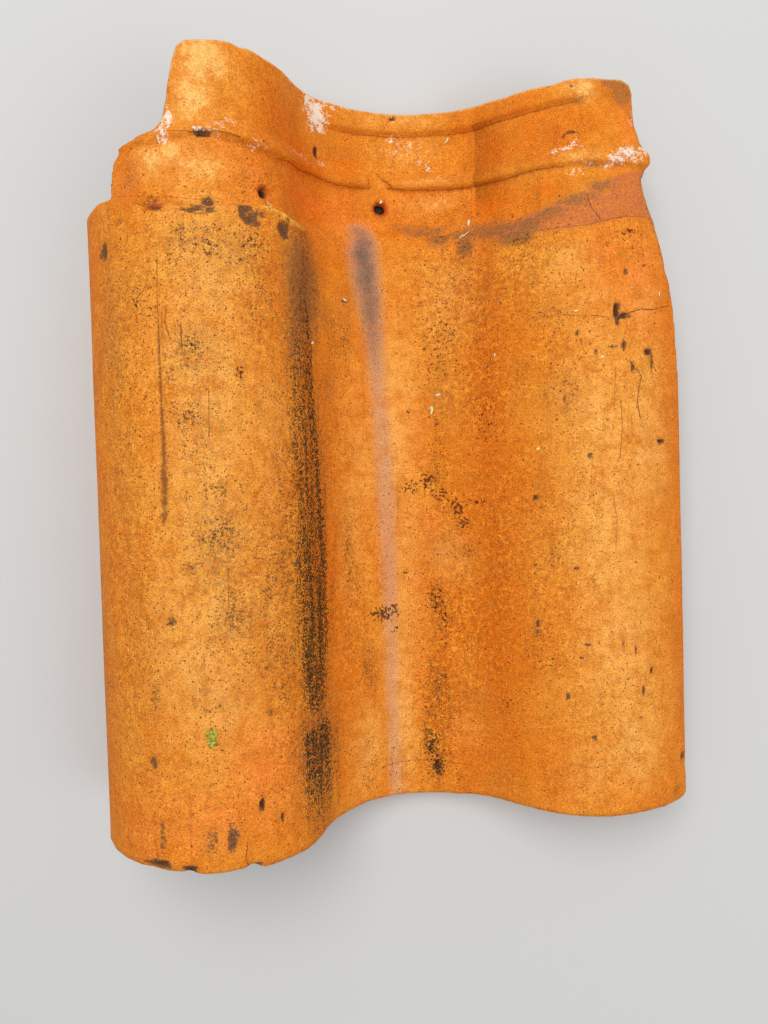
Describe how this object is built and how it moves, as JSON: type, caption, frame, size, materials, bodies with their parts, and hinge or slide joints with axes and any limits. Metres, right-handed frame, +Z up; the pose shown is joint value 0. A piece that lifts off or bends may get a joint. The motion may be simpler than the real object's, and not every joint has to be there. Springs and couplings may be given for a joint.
{
  "type": "clay roof tile",
  "caption": "S-shaped interlocking clay roof tile with a high cover roll, a curved pan, a low side roll, a stepped ribbed head lap and a nail hole.",
  "frame": {"origin": "middle of the tile's footprint, on the floor that it lies on", "axes": "+Y from the tail to the head, +X from the cover roll to the side roll, +Z up through the weathered face"},
  "size_m": [0.3176, 0.4, 0.1],
  "materials": {
    "fired_clay": "matt weathered terracotta"
  },
  "bodies": {
    "root": {"roof_tile": "fired_clay"}
  },
  "joints": []
}
